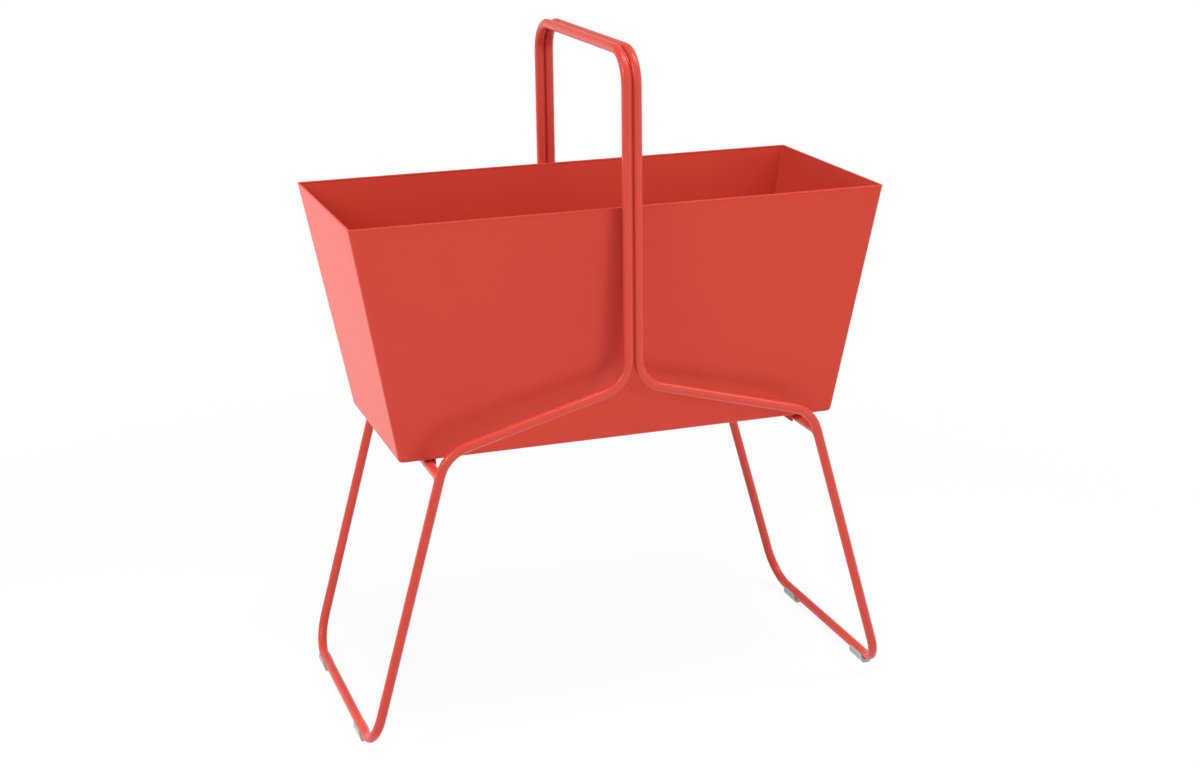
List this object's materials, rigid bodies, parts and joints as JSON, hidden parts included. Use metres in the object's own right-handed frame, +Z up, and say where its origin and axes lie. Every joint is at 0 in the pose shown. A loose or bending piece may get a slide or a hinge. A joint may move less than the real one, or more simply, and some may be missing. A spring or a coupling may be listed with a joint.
{
  "type": "basket planter",
  "caption": "Tall planter: a tapered, folded sheet-steel trough carried on a bent-rod frame with a basket handle, sled legs, floor glides and pull-out drain plugs.",
  "frame": {"origin": "on the floor, under the middle of the trough", "axes": "+X along the trough to the right, +Y to the back, +Z up; the front faces -Y"},
  "size_m": [0.6936, 0.346, 0.8426],
  "materials": {
    "red_coat": "satin powder coat on steel",
    "grey_plastic": "matte moulded",
    "zinc_plate": "bright zinc plating",
    "black_rubber": "matte moulded"
  },
  "bodies": {
    "planter": {"trough": "red_coat", "right_frame_loop": "red_coat", "left_frame_loop": "red_coat", "right_cross_bar": "red_coat", "left_cross_bar": "red_coat", "right_support_bracket": "red_coat", "left_support_bracket": "red_coat", "right_front_screw": "zinc_plate", "right_back_screw": "zinc_plate", "left_front_screw": "zinc_plate", "left_back_screw": "zinc_plate", "right_front_sealing_washer": "black_rubber", "right_back_sealing_washer": "black_rubber", "left_front_sealing_washer": "black_rubber", "left_back_sealing_washer": "black_rubber", "right_front_nut": "zinc_plate", "right_back_nut": "zinc_plate", "left_front_nut": "zinc_plate", "left_back_nut": "zinc_plate", "right_front_glide": "grey_plastic", "right_back_glide": "grey_plastic", "left_front_glide": "grey_plastic", "left_back_glide": "grey_plastic"},
    "right_plug": {"right_drain_plug": "black_rubber"},
    "left_plug": {"left_drain_plug": "black_rubber"}
  },
  "joints": [
    {"name": "right_plug_pull", "type": "slide", "parent": "planter", "child": "right_plug", "axis": [0, 0, -1], "range_m": [0, 0.025]},
    {"name": "left_plug_pull", "type": "slide", "parent": "planter", "child": "left_plug", "axis": [0, 0, -1], "range_m": [0, 0.025]}
  ]
}
